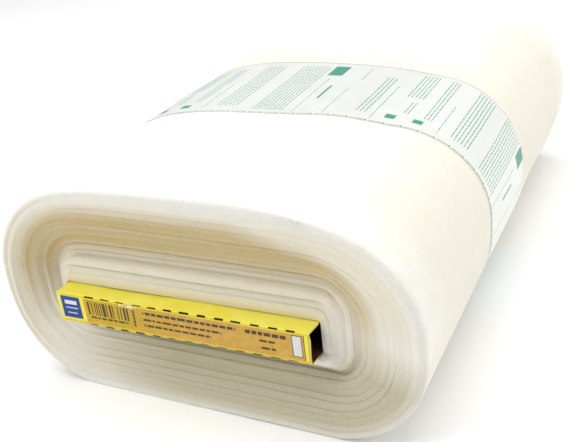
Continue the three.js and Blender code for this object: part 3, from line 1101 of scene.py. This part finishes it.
def label_plate(material):
    """The label, nicked along its lower edge where the board is slit."""
    half_width, half_height = LABEL_WIDTH / 2, LABEL_HEIGHT / 2
    nicks = np.array(bottom_slits)
    whole = half_width - NICK_MARGIN
    nicks = nicks[(nicks[:, 0] > -whole) & (nicks[:, 1] < whole)]
    columns = np.unique(np.concatenate([
        [-half_width, -half_width + LABEL_STEP, -half_width + LABEL_CORNER],
        np.linspace(-half_width, half_width, LABEL_COLUMNS)[1:-1],
        [half_width - LABEL_CORNER, half_width - LABEL_STEP, half_width],
        (nicks[:, :1] + [0, LABEL_STEP]).ravel(), (nicks[:, 1:] - [0, LABEL_STEP]).ravel(),
    ]))
    ends = np.clip(LABEL_CORNER - (half_width - np.abs(columns)), 0, LABEL_CORNER)
    rise = half_height - LABEL_CORNER + np.sqrt(LABEL_CORNER ** 2 - ends ** 2)
    levels = np.array([-1, -0.5, 0, 0.5, 1])
    z = rise[:, None] * levels[None]
    nick_starts, nick_ends = nicks[:, 0] + NICK_INSET, nicks[:, 1] - NICK_INSET
    within = (columns[:, None] > nick_starts) & (columns[:, None] < nick_ends)
    z[:, 0] += NICK_DEPTH * within.any(1)
    x = np.broadcast_to(columns[:, None], z.shape)
    lifted = wander(40, 120, 5)(x + 3 * z) * LABEL_LIFT
    near = BOARD_NEAR_Y - LABEL_BACK
    place_x, place_z = on_board(x, z)
    front = np.stack([place_x, near - LABEL_THICKNESS + lifted, place_z], -1)
    back = np.stack([place_x, near + 0 * x, place_z], -1)[:, ::-1]
    cloud = np.concatenate([front, back], 1)
    steps, ring = cloud.shape[:2]
    faces = [face[::-1] for face in grid_faces(steps, ring)]
    for first, flip in ((0, False), ((steps - 1) * ring, True)):
        for k in range(len(levels) - 1):
            quad = [first + k, first + k + 1, first + ring - 2 - k, first + ring - 1 - k]
            faces.append(quad[::-1] if flip else quad)
    piece = mesh_piece("printed_label", cloud.reshape(-1, 3), faces, [material], False)
    flat = np.stack([x, z], -1)
    flat = np.concatenate([flat, flat[:, ::-1]], 1).reshape(-1, 2)
    print_map(piece, flat[:, 0], flat[:, 1])
    return piece


# Printing: plain bars and blocks in place of lettering

def print_box(s, along, across, left, right, low, high):
    inside = s.math("COMPARE", along, (left + right) / 2, (right - left) / 2)
    level = s.math("COMPARE", across, (low + high) / 2, (high - low) / 2)
    return s.product(inside, level)


def rows_mask(s, value, start, pitch, weight):
    """1 on the inked part of each row of the given pitch."""
    part = s.math("WRAP", s.math("SUBTRACT", value, start), pitch, 0.0)
    return s.math("COMPARE", part, pitch / 2, weight / 2)


def words_mask(s, along, row, length):
    """Breaks a row into plain bars of uneven length."""
    place = s.math("ADD", s.math("DIVIDE", along, length), s.product(row, ROW_SHIFT))
    breaks = s.node("ShaderNodeTexVoronoi", {"W": place, "Scale": 1.0},
                    voronoi_dimensions="1D", feature="DISTANCE_TO_EDGE").outputs["Distance"]
    return s.math("GREATER_THAN", breaks, WORD_GAP)


LABEL_MOTTLES = (0.45, 0.75, 0.0, 0.22)
LABEL_LOW_EDGE = (-8.8, -9.6, 0.0, 0.9)
TORN_FIBRES = (0.44, 0.5)
BAR_GAPS = 0.45          # share of the bars' steps that is left bare
LABEL_INKED = 0.9


def label_material():
    s = Shader("label")
    parts = s.parts(s.node("ShaderNodeUVMap", uv_map="print").outputs[0])
    along, up = parts["X"], parts["Y"]

    def printed(colour, box, ink):
        return s.blend(print_box(s, along, up, *box), colour, ink)

    grain = s.noise(scale=300, detail=3)
    ground = s.blend(s.ramp(along, *LABEL_TAN_FROM), LABEL_GOLD, LABEL_TAN)
    colour = printed(LABEL_YELLOW, LABEL_PANEL, ground)
    colour = s.blend(s.ramp(grain, *LABEL_MOTTLES), colour, LABEL_YELLOW)
    colour = s.blend(s.ramp(up, *LABEL_LOW_EDGE), colour, LABEL_LOW)
    colour = printed(colour, LABEL_BLOCK, LABEL_BLUE)
    for bar in LABEL_BLOCK_BARS:
        colour = printed(colour, bar, LABEL_PALE)
    fibres = s.ramp(s.noise(scale=500, detail=3), *TORN_FIBRES)
    colour = s.blend(s.product(print_box(s, along, up, *LABEL_TORN), fibres), colour, CARD_WORN)
    colour = printed(colour, LABEL_WINDOW_RIM, LABEL_INK)
    colour = printed(colour, LABEL_WINDOW, LABEL_PALE)
    bars = s.node("ShaderNodeTexWhiteNoise", {"W": s.math("FLOOR", s.math("DIVIDE", along, BAR_STEP))},
                  noise_dimensions="1D").outputs["Value"]
    ink = s.product(s.math("GREATER_THAN", bars, BAR_GAPS), print_box(s, along, up, *LABEL_BARS))
    for left, right, low, high in LABEL_TEXT:
        words = words_mask(s, along, low, LABEL_WORD_LENGTH)
        ink = s.highest(ink, s.product(print_box(s, along, up, left, right, low, high), words))
    column = s.product(print_box(s, along, up, *LABEL_COLUMN), words_mask(s, up, 0.0, COLUMN_PITCH))
    ink = s.highest(ink, column, print_box(s, along, up, *LABEL_EDGE_RULE))
    colour = s.blend(s.product(ink, LABEL_INKED), colour, LABEL_INK)
    s.coat(colour, roughness=0.5, specular=0.35)
    s.bump(grain, distance=0.0001, strength=0.4)
    return s.material


# Floor and lights, in metres and watts

WORLD_STRENGTH = 0.26
FLOOR_HALF = 8
FLOOR_TONES = ((0.965, 0.965, 0.965, 1), (0.98, 0.98, 0.98, 1))
SOFTBOXES = (
    # name, place, target, size, power
    ("top_light", (-0.2, 0.0, 1.9), (0, 0, 0), 2.2, 38),
    ("right_light", (2.0, 0.5, 0.9), (0, 0, 0.08), 1.4, 16),
    ("front_light", (-0.9, -1.3, 1.2), (0, 0, 0.08), 0.7, 10.5),
    ("floor_light", (1.5, 0.0, 1.6), (0.7, 0, 0), 1.4, 5),
    ("back_light", (-1.3, 1.5, 1.7), (-1.3, 1.5, 0), 1.4, 5),
)


def make_floor():
    s = Shader("floor")
    s.set("Base Color", s.blend(s.noise(scale=8), *FLOOR_TONES))
    s.set("Roughness", 0.9)
    mesh = bpy.data.meshes.new("floor")
    corners = [(x * FLOOR_HALF, y * FLOOR_HALF, 0) for x, y in ((-1, -1), (1, -1), (1, 1), (-1, 1))]
    mesh.from_pydata(corners, [], [(0, 1, 2, 3)])
    mesh.materials.append(s.material)
    floor = bpy.data.objects.new("floor", mesh)
    bpy.context.scene.collection.objects.link(floor)


def make_lights():
    scene = bpy.context.scene
    scene.view_settings.view_transform = "Standard"
    scene.world = bpy.data.worlds.new("studio")
    scene.world.use_nodes = True
    background = scene.world.node_tree.nodes["Background"]
    background.inputs["Color"].default_value = (1, 1, 1, 1)
    background.inputs["Strength"].default_value = WORLD_STRENGTH
    for name, place, target, size, power in SOFTBOXES:
        data = bpy.data.lights.new(name, "AREA")
        data.shape = "SQUARE"
        data.size = size
        data.energy = power
        light = bpy.data.objects.new(name, data)
        light.location = place
        light.rotation_euler = (Vector(target) - Vector(place)).to_track_quat("-Z", "Y").to_euler()
        scene.collection.objects.link(light)


make_floor()
make_lights()
foam = foam_sheet(foam_material())
band = band_strip(film_material())
board = board_sleeve([
    card_material("card_print", CARD_YELLOW, CARD_SHADE, 0.25),
    card_material("card_inside_and_slit_shade", CARD_INSIDE, CARD_DARK, 0.1),
    card_material("card_cut", CARD_CUT, CARD_WORN, 0.6),
])
label = label_plate(label_material())
PIECES = (
    (foam, "foam_roll", "foam"),
    (band, "instruction_band", "band_film"),
    (board, "core_board", "board_card"),
    (label, "end_label", "label_paper"),
)
for piece, node, slot in PIECES:
    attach(piece, "root")
    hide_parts(node)
